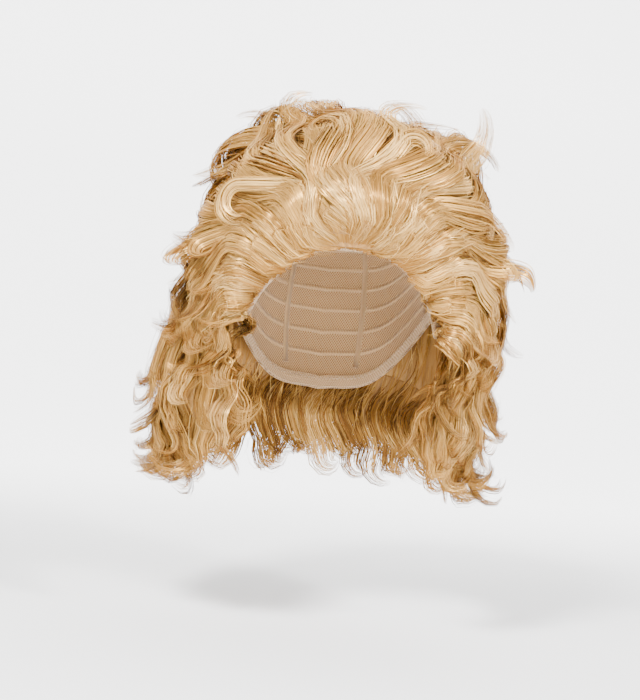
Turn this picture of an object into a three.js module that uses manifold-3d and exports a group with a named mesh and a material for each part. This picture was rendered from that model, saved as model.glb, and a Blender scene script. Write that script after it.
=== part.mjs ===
// A blond bouffant shag wig at real size, in millimetres, with +Z up.
// The origin is the inside top of the cap, where the wearer's head rests.
// The wearer looks along -Y, and left and right are as seen from the front.
import * as THREE from 'three';
import { mergeVertices } from 'three/addons/utils/BufferGeometryUtils.js';
import Module from 'manifold-3d';

const wasm = await Module();
wasm.setup();

// Head that the cap fits
const headHalfWidth = 76;
const headHalfDepth = 95;
const crownHeight = 105;
const napeReach = 112;
const headShift = 4;

// Cap and its elastic edge
const capWall = 1.6;
const bandWidth = 9;
const bandThickness = 1.4;
const bandGap = 0.45;
const hairlineDrop = 60;
const templeDrop = 114;
const earDrop = 102;
const napeDrop = 163;
const capColumns = 36;
const capRows = 7;

// Hood that the hair follows, measured at the underside of the locks
const crownPuff = 23;
const sidePuff = 11.8;
const backPuff = 10.8;
const hairDrop = 222;
const hoodLean = 5;
const rootAngle = 61;
const rootFan = 1.5;
const leanStart = 0.02;
const leanFull = 0.2;
const gridStep = 0.004;

// Short teased hair between the cap and the locks
const teasedSeat = 1.9;
const teasedThinnest = 1.4;
const teasedEnds = 6;
const teasedGap = 1.5;
const teasedReach = 0.9;
const teasedColumns = 17;
const thinningStart = 0.35;
const thinningEnd = 0.7;

// Locks and the bed of hair that each section of locks grows from
const lockGap = 0.6;
const bedDepth = 11;
const lobeHeight = 8;
const rootDepth = 0.3;
const endDepth = 0.45;
const hoodStations = 16;
const ridgeShares = [0, 0.75, 1, 0.75];
const ridgeVariety = 0.2;
const tipSides = 5;
const tipThickness = 0.5;
const waveShare = 0.042;
const waveCount = 1.6;
const waveTurn = 2;
const waveStart = 0.05;
const waveFull = 0.3;
const puffDepth = 2.6;
const puffCount = 5;
const puffTurn = 3;
const puffStart = 0.1;
const puffFull = 0.4;
const endStart = 0.75;
const tailSteps = 4;
const tailLength = 26;
const tailVariety = 0.3;
const tailEnd = 0.25;
const tailSeat = 0.7;
const tailWidth = 0.9;
const tailStarts = [1.6, 0.8, 0.1];
const mergeDistance = 1e-4;
const hairRoughness = 0.5;
const clothRoughness = 0.9;

const rimStandOff = capWall + teasedSeat + teasedThinnest + teasedGap;
const hoodHalfWidth = headHalfWidth + rimStandOff + sidePuff;
const hoodHalfDepth = headHalfDepth + rimStandOff + backPuff;
const hoodHeight = crownPuff + hairDrop;

const radians = THREE.MathUtils.degToRad;
const between = (a, b, share) => a + (b - a) * share;
const smooth = (low, high, x) => THREE.MathUtils.smoothstep(x, low, high);

// Edge of the cap round the head: degrees from the forehead, and drop below the top of the head
const rimRows = [
  { angle: 0, down: hairlineDrop },
  { angle: 16, down: between(hairlineDrop, templeDrop, 0.02) },
  { angle: 27, down: between(hairlineDrop, templeDrop, 0.13) },
  { angle: 38, down: between(hairlineDrop, templeDrop, 0.32) },
  { angle: 49, down: between(hairlineDrop, templeDrop, 0.58) },
  { angle: 63, down: templeDrop },
  { angle: 78, down: between(templeDrop, earDrop, 0.5) },
  { angle: 92, down: earDrop },
  { angle: 108, down: between(earDrop, napeDrop, 0.05) },
  { angle: 145, down: between(earDrop, napeDrop, 0.85) },
  { angle: 180, down: napeDrop },
];

// Lines of the hood across the head, from the middle to the edge beside the face.
// out is a share of its half width, back of its half depth and down of its height.
const browLine = [
  { at: 0.0, out: 0.0, back: -0.74, down: 0.175 },
  { at: 0.2, out: 0.25, back: -0.715, down: 0.175 },
  { at: 0.4, out: 0.49, back: -0.63, down: 0.205 },
  { at: 0.6, out: 0.685, back: -0.54, down: 0.3 },
  { at: 0.8, out: 0.79, back: -0.485, down: 0.42 },
  { at: 1.0, out: 0.77, back: -0.49, down: 0.59 },
];
const crestLine = [
  { at: 0.0, out: 0.0, back: -0.22, down: 0.0 },
  { at: 0.2, out: 0.36, back: -0.165, down: 0.012 },
  { at: 0.4, out: 0.69, back: -0.08, down: 0.075 },
  { at: 0.6, out: 0.91, back: -0.16, down: 0.265 },
  { at: 0.8, out: 0.93, back: -0.3, down: 0.455 },
  { at: 1.0, out: 0.73, back: -0.535, down: 0.67 },
];
const turnLine = [
  { at: 0.0, out: 0.0, back: 0.745, down: 0.155 },
  { at: 0.2, out: 0.45, back: 0.66, down: 0.195 },
  { at: 0.4, out: 0.84, back: 0.42, down: 0.29 },
  { at: 0.6, out: 0.98, back: 0.13, down: 0.455 },
  { at: 0.8, out: 0.97, back: -0.165, down: 0.6 },
  { at: 1.0, out: 0.655, back: -0.575, down: 0.735 },
];
const fallLine = [
  { at: 0.0, out: 0.0, back: 0.935, down: 0.58 },
  { at: 0.2, out: 0.45, back: 0.86, down: 0.6 },
  { at: 0.4, out: 0.86, back: 0.57, down: 0.655 },
  { at: 0.6, out: 1.08, back: 0.18, down: 0.745 },
  { at: 0.8, out: 1.03, back: -0.185, down: 0.8 },
  { at: 1.0, out: 0.61, back: -0.575, down: 0.83 },
];
const hemLine = [
  { at: 0.0, out: 0.0, back: 0.825, down: 1.0 },
  { at: 0.2, out: 0.43, back: 0.79, down: 1.0 },
  { at: 0.4, out: 0.85, back: 0.55, down: 1.0 },
  { at: 0.6, out: 1.0, back: 0.165, down: 1.0 },
  { at: 0.8, out: 0.94, back: -0.2, down: 0.99 },
  { at: 1.0, out: 0.66, back: -0.5, down: 0.905 },
];
const hoodLines = [
  { along: 0.1, line: browLine },
  { along: 0.26, line: crestLine },
  { along: 0.51, line: turnLine },
  { along: 0.755, line: fallLine },
  { along: 1.0, line: hemLine },
];

// Sideways lean of the hair at each height, as shares of the hood's height and lean
const leanRows = [
  { down: 0.0, lean: 0.9 },
  { down: 0.3, lean: 0.8 },
  { down: 0.5, lean: 0.6 },
  { down: 0.65, lean: 0.1 },
  { down: 0.8, lean: -1.1 },
  { down: 1.0, lean: -0.8 },
];

// Sections of hair. left and right are places across the hood, from and to are its stations
// from hairline to hem, rise is the share of its length over which it reaches its full depth,
// and tail is how far its ends run on, as a share of the tail length.
const sections = [
  { name: 'front_fan', left: -0.22, right: 0.22, from: 0, to: 7, rise: 0.2, locks: 3, tail: 0 },
  { name: 'left_wave', left: -0.52, right: -0.22, from: 0, to: 7, rise: 0.2, locks: 2, tail: 0 },
  { name: 'right_wave', left: 0.22, right: 0.52, from: 0, to: 7, rise: 0.2, locks: 2, tail: 0 },
  { name: 'left_temple', left: -0.78, right: -0.52, from: 0, to: 8, rise: 0.2, locks: 2, tail: 0 },
  { name: 'right_temple', left: 0.52, right: 0.78, from: 0, to: 8, rise: 0.2, locks: 2, tail: 0 },
  { name: 'left_face_lock', left: -1, right: -0.78, from: 0, to: 16, rise: 0.45, locks: 2, tail: 0.4 },
  { name: 'right_face_lock', left: 0.78, right: 1, from: 0, to: 16, rise: 0.45, locks: 2, tail: 0.4 },
  { name: 'crown_back', left: -0.22, right: 0.22, from: 7, to: 12, rise: 0.45, locks: 3, tail: 0 },
  { name: 'left_back_wave', left: -0.52, right: -0.22, from: 7, to: 12, rise: 0.45, locks: 2, tail: 0 },
  { name: 'right_back_wave', left: 0.22, right: 0.52, from: 7, to: 12, rise: 0.45, locks: 2, tail: 0 },
  { name: 'left_side_wave', left: -0.78, right: -0.52, from: 8, to: 12, rise: 0.45, locks: 2, tail: 0 },
  { name: 'right_side_wave', left: 0.52, right: 0.78, from: 8, to: 12, rise: 0.45, locks: 2, tail: 0 },
  { name: 'nape_ends', left: -0.22, right: 0.22, from: 12, to: 16, rise: 0.45, locks: 3, tail: 0.8 },
  { name: 'left_back_ends', left: -0.52, right: -0.22, from: 12, to: 16, rise: 0.45, locks: 3, tail: 0.9 },
  { name: 'right_back_ends', left: 0.22, right: 0.52, from: 12, to: 16, rise: 0.45, locks: 3, tail: 0.9 },
  { name: 'left_side_ends', left: -0.78, right: -0.52, from: 12, to: 16, rise: 0.45, locks: 3, tail: 1.1 },
  { name: 'right_side_ends', left: 0.52, right: 0.78, from: 12, to: 16, rise: 0.45, locks: 3, tail: 1 },
];

// How the ends of neighbouring locks curl: degrees of turn, and its plane, where 0 is outward
// and 90 is sideways along the hem
const tailRows = [
  { turn: 110, plane: 20 },
  { turn: 150, plane: 75 },
  { turn: 95, plane: -50 },
  { turn: 190, plane: -80 },
];

// Lifted tips, by stations past the end of their section, as shares of the bed's depth, of the
// room beside the next lock and of the ridge height
const liftedRows = [
  { stations: -1.5, height: 0.55, width: 0.75, thick: 0.8 },
  { stations: -0.7, height: 0.95, width: 0.9, thick: 0.75 },
  { stations: 0, height: 1.3, width: 0.75, thick: 0.6 },
  { stations: 0.75, height: 1.6, width: 0.35, thick: 0.25 },
];

// Colours of the sections that start at the hairline, of those behind them and of the ends
const frontTone = new THREE.Color('#dcc091');
const middleTone = new THREE.Color('#d2b27c');
const endTone = new THREE.Color('#c4a068');

// Smooth curve through a table's values, with x the name of its key column
function tableValue(rows, x, column, at) {
  let i = 0;
  while (i < rows.length - 2 && at > rows[i + 1][x]) i += 1;
  const slope = (j) => {
    const a = rows[Math.max(j - 1, 0)];
    const b = rows[Math.min(j + 1, rows.length - 1)];
    return (b[column] - a[column]) / (b[x] - a[x]);
  };
  const low = rows[i];
  const high = rows[i + 1];
  const span = high[x] - low[x];
  const t = THREE.MathUtils.clamp((at - low[x]) / span, 0, 1);
  const t2 = t * t;
  const t3 = t2 * t;
  return (2 * t3 - 3 * t2 + 1) * low[column] + (t3 - 2 * t2 + t) * span * slope(i)
    + (3 * t2 - 2 * t3) * high[column] + (t3 - t2) * span * slope(i + 1);
}

// Point on the head form at an offset from it, by degrees from the forehead and polar angle
function headPoint(angle, polar, offset) {
  const reach = polar < Math.PI / 2 ? crownHeight : napeReach;
  const ring = Math.sin(polar);
  return new THREE.Vector3(
    (headHalfWidth + offset) * ring * Math.sin(radians(angle)),
    headShift - (headHalfDepth + offset) * ring * Math.cos(radians(angle)),
    (reach + offset) * Math.cos(polar) - crownHeight,
  );
}

function rimPolar(angle) {
  const folded = Math.abs(THREE.MathUtils.euclideanModulo(angle + 180, 360) - 180);
  const height = crownHeight - tableValue(rimRows, 'angle', 'down', folded);
  return Math.acos(height / (height > 0 ? crownHeight : napeReach));
}

// Closed surface from rings of points, joined to the next ring and capped at both ends
function ringGeometry(rings) {
  const count = rings[0].length;
  const positions = rings.flat().flatMap((p) => [p.x, p.y, p.z]);
  const faces = [];
  for (let r = 0; r + 1 < rings.length; r += 1) {
    for (let i = 0; i < count; i += 1) {
      const a = r * count + i;
      const b = r * count + ((i + 1) % count);
      faces.push(a, b, a + count, b, b + count, a + count);
    }
  }
  const last = (rings.length - 1) * count;
  for (let i = 1; i + 1 < count; i += 1) {
    faces.push(0, i + 1, i, last, last + i, last + i + 1);
  }
  const geometry = new THREE.BufferGeometry();
  geometry.setAttribute('position', new THREE.Float32BufferAttribute(positions, 3));
  geometry.setIndex(faces);
  return geometry;
}

// Closed slab between two grids of points with the same rows and columns
function slabGeometry(upper, lower) {
  const rows = upper.length;
  const columns = upper[0].length;
  const positions = [...upper.flat(), ...lower.flat()].flatMap((p) => [p.x, p.y, p.z]);
  const faces = [];
  const half = rows * columns;
  const place = (r, c) => r * columns + c;
  const quad = (a, b, c, d) => faces.push(a, b, c, a, c, d);
  for (let r = 0; r + 1 < rows; r += 1) {
    for (let c = 0; c + 1 < columns; c += 1) {
      quad(place(r, c), place(r + 1, c), place(r + 1, c + 1), place(r, c + 1));
      const under = half + place(r, c);
      quad(under, under + 1, under + columns + 1, under + columns);
    }
    const end = columns - 1;
    quad(place(r, 0), half + place(r, 0), half + place(r + 1, 0), place(r + 1, 0));
    quad(place(r, end), place(r + 1, end), half + place(r + 1, end), half + place(r, end));
  }
  for (let c = 0; c + 1 < columns; c += 1) {
    const end = rows - 1;
    quad(place(0, c), place(0, c + 1), half + place(0, c + 1), half + place(0, c));
    quad(place(end, c), half + place(end, c), half + place(end, c + 1), place(end, c + 1));
  }
  const geometry = new THREE.BufferGeometry();
  geometry.setAttribute('position', new THREE.Float32BufferAttribute(positions, 3));
  geometry.setIndex(faces);
  return geometry;
}

// Turn a closed surface whose faces point in inside out
function facingOut(geometry) {
  const p = geometry.getAttribute('position');
  const index = geometry.getIndex();
  const [a, b, c] = [new THREE.Vector3(), new THREE.Vector3(), new THREE.Vector3()];
  let volume = 0;
  for (let i = 0; i < index.count; i += 3) {
    a.fromBufferAttribute(p, index.getX(i));
    b.fromBufferAttribute(p, index.getX(i + 1));
    c.fromBufferAttribute(p, index.getX(i + 2));
    volume += a.dot(b.cross(c));
  }
  if (volume < 0) {
    const flipped = Array.from(index.array);
    for (let i = 0; i < flipped.length; i += 3) {
      [flipped[i + 1], flipped[i + 2]] = [flipped[i + 2], flipped[i + 1]];
    }
    geometry.setIndex(flipped);
  }
  return geometry;
}

function capGeometry() {
  const bandTurn = bandWidth / crownHeight;
  const shell = [];
  const layer = (offset) => {
    const rings = [];
    for (let r = 1; r <= capRows; r += 1) {
      const ring = [];
      for (let i = 0; i < capColumns; i += 1) {
        const angle = (360 * i) / capColumns;
        const upper = rimPolar(angle) - bandTurn;
        const polar = r < capRows ? (upper * r) / (capRows - 1) : rimPolar(angle);
        ring.push(headPoint(angle, polar, offset));
      }
      rings.push(ring);
    }
    return rings;
  };
  shell.push(...layer(capWall), ...layer(0).reverse());
  const count = capColumns;
  const points = [...shell.flat(), headPoint(0, 0, capWall), headPoint(0, 0, 0)];
  const positions = points.flatMap((p) => [p.x, p.y, p.z]);
  const faces = [];
  for (let r = 0; r + 1 < shell.length; r += 1) {
    for (let i = 0; i < count; i += 1) {
      const a = r * count + i;
      const b = r * count + ((i + 1) % count);
      faces.push(a, a + count, b, b, a + count, b + count);
    }
  }
  const top = shell.length * count;
  const last = (shell.length - 1) * count;
  for (let i = 0; i < count; i += 1) {
    const next = (i + 1) % count;
    faces.push(top, i, next, top + 1, last + next, last + i);
  }
  const geometry = new THREE.BufferGeometry();
  geometry.setAttribute('position', new THREE.Float32BufferAttribute(positions, 3));
  geometry.setIndex(faces);
  return facingOut(geometry);
}

function edgeBandGeometry() {
  const turn = bandWidth / crownHeight;
  const rings = [];
  for (let i = 0; i < capColumns; i += 1) {
    const angle = (360 * i) / capColumns;
    const rim = rimPolar(angle);
    rings.push([
      headPoint(angle, rim, -bandGap),
      headPoint(angle, rim - turn, -bandGap),
      headPoint(angle, rim - turn, -bandGap - bandThickness),
      headPoint(angle, rim, -bandGap - bandThickness),
    ]);
  }
  const sides = rings[0].length;
  const positions = rings.flat().flatMap((p) => [p.x, p.y, p.z]);
  const faces = [];
  for (let r = 0; r < rings.length; r += 1) {
    const next = ((r + 1) % rings.length) * sides;
    for (let s = 0; s < sides; s += 1) {
      const t = (s + 1) % sides;
      faces.push(r * sides + s, next + s, r * sides + t, r * sides + t, next + s, next + t);
    }
  }
  const geometry = new THREE.BufferGeometry();
  geometry.setAttribute('position', new THREE.Float32BufferAttribute(positions, 3));
  geometry.setIndex(faces);
  return facingOut(geometry);
}

// Share of the way out to a head form grown by an offset: 1 lies on it
function headShare(point, offset) {
  const height = point.z + crownHeight;
  const reach = (height > 0 ? crownHeight : napeReach) + offset;
  return Math.hypot(
    point.x / (headHalfWidth + offset),
    (point.y - headShift) / (headHalfDepth + offset),
    height / reach,
  );
}

function towardHead(point, offset) {
  const centre = new THREE.Vector3(0, headShift, -crownHeight);
  return point.clone().sub(centre).divideScalar(headShare(point, offset)).add(centre);
}

// Underside of the locks, from the hairline (along 0) to the hem (along 1)
function hoodPoint(along, across) {
  const side = Math.abs(across);
  const sign = Math.sign(across);
  const rootTurn = rootAngle * side ** rootFan;
  const root = headPoint(rootTurn, rimPolar(rootTurn), rimStandOff);
  const mirrored = (line) => [{ ...line[1], at: -line[1].at, out: -line[1].out }, ...line];
  const rows = hoodLines.map(({ along: u, line }) => ({
    u,
    x: hoodHalfWidth * tableValue(mirrored(line), 'at', 'out', side),
    y: headShift + hoodHalfDepth * tableValue(mirrored(line), 'at', 'back', side),
    z: crownPuff - hoodHeight * tableValue(mirrored(line), 'at', 'down', side),
  }));
  rows.unshift({ u: 0, x: root.x, y: root.y, z: root.z });
  const point = new THREE.Vector3(
    sign * tableValue(rows, 'u', 'x', along),
    tableValue(rows, 'u', 'y', along),
    tableValue(rows, 'u', 'z', along),
  );
  const down = (crownPuff - point.z) / hoodHeight;
  point.x += hoodLean * tableValue(leanRows, 'down', 'lean', down) * smooth(leanStart, leanFull, along);
  const share = headShare(point, rimStandOff);
  return share < 1 ? towardHead(point, rimStandOff) : point;
}

// Outward direction and the two directions along the hood
function hoodFrame(along, across) {
  const a = Math.min(along, 1 - gridStep);
  const c = THREE.MathUtils.clamp(across, gridStep - 1, 1 - gridStep);
  const down = hoodPoint(a + gridStep, c).sub(hoodPoint(Math.max(a - gridStep, 0), c)).normalize();
  const width = hoodPoint(a, c + gridStep).sub(hoodPoint(a, c - gridStep));
  const out = new THREE.Vector3().crossVectors(width, down).normalize();
  const over = new THREE.Vector3().crossVectors(down, out).normalize();
  const overRate = width.dot(over) / (2 * gridStep);
  return { down, over, out, overRate };
}

// Place in the hair: along and across the hood and a height above the underside of the locks
function hairPlace(along, across, height) {
  const free = (1 - across * across) * smooth(waveStart, waveFull, along);
  const shifted = across
    + waveShare * free * Math.sin(2 * Math.PI * waveCount * along + waveTurn * across);
  const frame = hoodFrame(along, shifted);
  const puff = puffDepth * smooth(puffStart, puffFull, along)
    * Math.sin(2 * Math.PI * puffCount * along + puffTurn * across);
  const point = hoodPoint(along, shifted).addScaledVector(frame.out, height + puff);
  return { point, ...frame };
}

// Share of its full depth that a section has, from its root to its end
function depthShare(section, share) {
  const root = between(rootDepth, 1, smooth(0, section.rise, share));
  return root * between(1, endDepth, smooth(endStart, 1, share));
}

// A number from -1 to 1 that differs from lock to lock and stays the same for each
function ragged(section, number) {
  const place = hoodStations * (section.left + number) + section.from;
  return Math.sin(place * place);
}

// Hair of one section, with a ridge for each lock
function sectionBody(section) {
  const stations = section.to - section.from;
  const perLock = ridgeShares.length;
  const columns = section.locks * perLock;
  const upper = [];
  const lower = [];
  for (let s = 0; s <= stations; s += 1) {
    const along = (section.from + s) / hoodStations;
    const top = [];
    const bottom = [];
    for (let c = 0; c <= columns; c += 1) {
      const across = between(section.left, section.right, c / columns);
      const place = hairPlace(along, across, 0);
      const variety = 1 + ridgeVariety * ragged(section, Math.floor(c / perLock));
      const ridge = ridgeShares[c % perLock] * variety;
      const depth = depthShare(section, s / stations) * (bedDepth + lobeHeight * ridge);
      const inward = (c === 0) - (c === columns);
      const endward = (s === 0 && section.from > 0) - (s === stations && section.to < hoodStations);
      const corner = place.point.clone()
        .addScaledVector(place.over, (inward * lockGap) / 2)
        .addScaledVector(place.down, (endward * lockGap) / 2);
      bottom.push(corner);
      top.push(corner.clone().addScaledVector(place.out, depth));
    }
    upper.push(top);
    lower.push(bottom);
  }
  return facingOut(slabGeometry(upper, lower));
}

// Ring of points round one place of a lock's tip
function tipRing(centre, over, out, halfWidth, halfHeight) {
  const ring = [];
  for (let i = 0; i < tipSides; i += 1) {
    const turn = (2 * Math.PI * i) / tipSides + Math.PI / 2;
    ring.push(centre.clone()
      .addScaledVector(over, halfWidth * Math.cos(turn))
      .addScaledVector(out, halfHeight * Math.sin(turn)));
  }
  return ring;
}

// Tip of a lock that lifts off over the roots of the next section
function liftedTip(section, number) {
  const { left, right, to, locks } = section;
  const across = between(left, right, (number + 0.5) / locks);
  return facingOut(ringGeometry(liftedRows.map((row) => {
    const place = hairPlace((to + row.stations) / hoodStations, across, row.height * bedDepth);
    const room = ((right - left) / 2 / locks) * place.overRate - lockGap;
    return tipRing(place.point, place.over, place.out, room * row.width, lobeHeight * row.thick);
  })));
}

// End of a lock that hangs past the hem and curls round
function hangingTip(section, number) {
  const { left, right, to, locks } = section;
  const across = between(left, right, (number + 0.5) / locks);
  const rings = [];
  let place;
  let halfWidth;
  for (const back of tailStarts) {
    place = hairPlace((to - back) / hoodStations, across, bedDepth * tailSeat);
    halfWidth = tailWidth * (((right - left) / 2 / locks) * place.overRate - lockGap);
    rings.push(tipRing(place.point, place.over, place.out, halfWidth, lobeHeight * tipThickness));
  }
  const row = tailRows[(number + 2 * (left > 0)) % tailRows.length];
  const bend = place.out.clone().multiplyScalar(Math.cos(radians(row.plane)))
    .addScaledVector(place.over, Math.sin(radians(row.plane)));
  const axis = new THREE.Vector3().crossVectors(place.down, bend).normalize();
  const length = tailLength * section.tail * (1 + tailVariety * ragged(section, number));
  const centre = place.point.clone();
  for (let s = 1; s <= tailSteps; s += 1) {
    const turn = (radians(row.turn) * s) / tailSteps;
    const spin = (v) => v.clone().applyAxisAngle(axis, turn);
    centre.addScaledVector(spin(place.down), length / tailSteps);
    const size = between(1, tailEnd, s / tailSteps);
    rings.push(tipRing(centre, spin(place.over), spin(place.out), halfWidth * size,
      lobeHeight * tipThickness * size));
  }
  return facingOut(ringGeometry(rings));
}

function solidOf(geometry) {
  const plain = mergeVertices(geometry, mergeDistance);
  return new wasm.Manifold(new wasm.Mesh({
    numProp: 3,
    vertProperties: new Float32Array(plain.getAttribute('position').array),
    triVerts: new Uint32Array(plain.getIndex().array),
  }));
}

function geometryOf(solid) {
  const mesh = solid.getMesh();
  const geometry = new THREE.BufferGeometry();
  geometry.setAttribute('position', new THREE.Float32BufferAttribute(mesh.vertProperties, 3));
  geometry.setIndex(new THREE.Uint32BufferAttribute(mesh.triVerts, 1));
  return geometry;
}

function sectionGeometry(section) {
  let solid = solidOf(sectionBody(section));
  for (let number = 0; number < section.locks; number += 1) {
    const tip = section.tail > 0 ? hangingTip(section, number) : liftedTip(section, number);
    solid = solid.add(solidOf(tip));
  }
  return geometryOf(solid);
}

// Short hair that fills the space between the cap and the locks and hangs on inside them
function teasedHairGeometry() {
  const upper = [];
  const lower = [];
  const lastStation = hoodStations - 1;
  for (let s = 0; s <= lastStation; s += 1) {
    const along = s / hoodStations;
    const top = [];
    const bottom = [];
    for (let c = 0; c <= teasedColumns; c += 1) {
      const across = between(-teasedReach, teasedReach, c / teasedColumns);
      const frame = hairPlace(along, across, -teasedGap);
      const seat = towardHead(frame.point, capWall + teasedSeat);
      const inward = seat.sub(frame.point);
      const deepest = between(headHalfWidth, teasedEnds, smooth(thinningStart, thinningEnd, along));
      const depth = THREE.MathUtils.clamp(inward.length(), teasedThinnest, deepest);
      top.push(frame.point);
      bottom.push(frame.point.clone().addScaledVector(inward.normalize(), depth));
    }
    upper.push(top);
    lower.push(bottom);
  }
  return facingOut(slabGeometry(upper, lower));
}

function sectionTone(section) {
  if (section.from === 0) return frontTone;
  return section.to < hoodStations ? middleTone : endTone;
}

function piece(name, geometry, colour, roughness) {
  const material = new THREE.MeshStandardMaterial({ color: colour, roughness, metalness: 0 });
  const mesh = new THREE.Mesh(geometry, material);
  mesh.name = name;
  return mesh;
}

const wig = new THREE.Group();
wig.add(piece('cap', capGeometry(), new THREE.Color('#b08a5a'), clothRoughness));
wig.add(piece('edge_band', edgeBandGeometry(), new THREE.Color('#c49b67'), clothRoughness));
wig.add(piece('teased_hair', teasedHairGeometry(), new THREE.Color('#9c7a4c'), hairRoughness));
for (const section of sections) {
  wig.add(piece(section.name, sectionGeometry(section), sectionTone(section), hairRoughness));
}

export default wig;
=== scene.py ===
"""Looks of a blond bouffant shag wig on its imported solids. +Z is up, and its face opening is toward -Y."""
import math

import bpy
import numpy as np
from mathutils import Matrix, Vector


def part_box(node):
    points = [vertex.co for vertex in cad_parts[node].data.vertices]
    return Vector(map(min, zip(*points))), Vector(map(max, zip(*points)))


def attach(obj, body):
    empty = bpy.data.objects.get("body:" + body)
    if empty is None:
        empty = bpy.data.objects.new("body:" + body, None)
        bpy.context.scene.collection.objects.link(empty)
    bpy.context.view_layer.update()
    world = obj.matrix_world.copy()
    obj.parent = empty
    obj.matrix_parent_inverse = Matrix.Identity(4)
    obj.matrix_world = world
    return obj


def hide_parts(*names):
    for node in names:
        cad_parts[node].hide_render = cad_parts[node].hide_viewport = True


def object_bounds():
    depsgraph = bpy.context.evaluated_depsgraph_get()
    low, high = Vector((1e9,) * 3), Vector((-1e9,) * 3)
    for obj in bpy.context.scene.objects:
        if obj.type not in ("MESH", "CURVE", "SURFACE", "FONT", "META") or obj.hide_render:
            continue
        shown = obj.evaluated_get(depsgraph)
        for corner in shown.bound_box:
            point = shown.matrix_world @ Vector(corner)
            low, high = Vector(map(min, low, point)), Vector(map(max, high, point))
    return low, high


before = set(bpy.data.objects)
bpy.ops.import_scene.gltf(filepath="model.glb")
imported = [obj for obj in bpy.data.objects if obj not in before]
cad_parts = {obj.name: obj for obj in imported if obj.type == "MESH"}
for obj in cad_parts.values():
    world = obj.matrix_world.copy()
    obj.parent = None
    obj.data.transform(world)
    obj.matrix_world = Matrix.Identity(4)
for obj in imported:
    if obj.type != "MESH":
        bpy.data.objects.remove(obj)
cad_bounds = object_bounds()

# Sizes of the hair and the cap are in millimetres, and those of the stage in metres
MM = 0.001
SEED = 1974

# Head form that the cap fits, in millimetres
HEAD_HALF_WIDTH = 76
HEAD_HALF_DEPTH = 95
CROWN_HEIGHT = 105
NAPE_REACH = 112
HEAD_SHIFT = 4
CAP_WALL = 1.6
BAND_WIDTH = 9
BAND_GAP = 0.45
BAND_THICKNESS = 1.4
HAIRLINE_DROP = 60
TEMPLE_DROP = 114
EAR_DROP = 102
NAPE_DROP = 163

# Hood that the hair follows
RIM_STAND_OFF = 6.4
CROWN_PUFF = 23
SIDE_PUFF = 11.8
BACK_PUFF = 10.8
HAIR_DROP = 222
HOOD_LEAN = 5
ROOT_ANGLE = 61
ROOT_FAN = 1.5
HOOD_HALF_WIDTH = HEAD_HALF_WIDTH + SIDE_PUFF + RIM_STAND_OFF
HOOD_HALF_DEPTH = HEAD_HALF_DEPTH + BACK_PUFF + RIM_STAND_OFF
HOOD_HEIGHT = CROWN_PUFF + HAIR_DROP
WAVE_SHARE = 0.042
WAVE_COUNT = 1.6
PUFF_DEPTH = 2.6
PUFF_COUNT = 5
STATIONS = 16
BED_DEPTH = 11
RIDGE_HEIGHT = 8
TEASED_SEAT = 1.9
TEASED_THINNEST = 1.4
TEASED_ENDS = 6
TEASED_GAP = 1.5


def share_of(a, b, share):
    return a + (b - a) * share


# Edge of the cap: degrees from the forehead, and drop below the top of the head
RIM = [
    (0, HAIRLINE_DROP),
    (16, share_of(HAIRLINE_DROP, TEMPLE_DROP, 0.02)),
    (27, share_of(HAIRLINE_DROP, TEMPLE_DROP, 0.13)),
    (38, share_of(HAIRLINE_DROP, TEMPLE_DROP, 0.32)),
    (49, share_of(HAIRLINE_DROP, TEMPLE_DROP, 0.58)),
    (63, TEMPLE_DROP),
    (78, share_of(TEMPLE_DROP, EAR_DROP, 0.5)),
    (92, EAR_DROP),
    (108, share_of(EAR_DROP, NAPE_DROP, 0.05)),
    (145, share_of(EAR_DROP, NAPE_DROP, 0.85)),
    (180, NAPE_DROP),
]

# Lines of the hood across the head: place across, then out, back and down as shares of its size
ACROSS = [0.0, 0.2, 0.4, 0.6, 0.8, 1.0]
HOOD_LINES = [
    (0.1, [(0, -0.74, 0.175), (0.25, -0.715, 0.175), (0.49, -0.63, 0.205),
           (0.685, -0.54, 0.3), (0.79, -0.485, 0.42), (0.77, -0.49, 0.59)]),
    (0.26, [(0, -0.22, 0.0), (0.36, -0.165, 0.012), (0.69, -0.08, 0.075),
            (0.91, -0.16, 0.265), (0.93, -0.3, 0.455), (0.73, -0.535, 0.67)]),
    (0.51, [(0, 0.745, 0.155), (0.45, 0.66, 0.195), (0.84, 0.42, 0.29),
            (0.98, 0.13, 0.455), (0.97, -0.165, 0.6), (0.655, -0.575, 0.735)]),
    (0.755, [(0, 0.935, 0.58), (0.45, 0.86, 0.6), (0.86, 0.57, 0.655),
             (1.08, 0.18, 0.745), (1.03, -0.185, 0.8), (0.61, -0.575, 0.83)]),
    (1.0, [(0, 0.825, 1.0), (0.43, 0.79, 1.0), (0.85, 0.55, 1.0),
           (1.0, 0.165, 1.0), (0.94, -0.2, 0.99), (0.66, -0.5, 0.905)]),
]

# Sideways lean of the hood by how far down it is, and the reach along the locks over which it sets in
LEAN = [(0.0, 0.9), (0.3, 0.8), (0.5, 0.6), (0.65, 0.1), (0.8, -1.1), (1.0, -0.8)]
LEAN_SETS_IN = (0.02, 0.2)

HEAD_CENTRE = np.array([0, HEAD_SHIFT, -CROWN_HEIGHT])
TINY = 1e-9


def smooth(low, high, x):
    t = np.clip((np.asarray(x, float) - low) / (high - low), 0, 1)
    return t * t * (3 - 2 * t)


def unit(vectors):
    return vectors / np.maximum(np.linalg.norm(vectors, axis=-1, keepdims=True), TINY)


def square_to(vectors, axes):
    """Unit vectors turned square to unit axes."""
    return unit(vectors - axes * (vectors * axes).sum(-1, keepdims=True))


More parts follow.
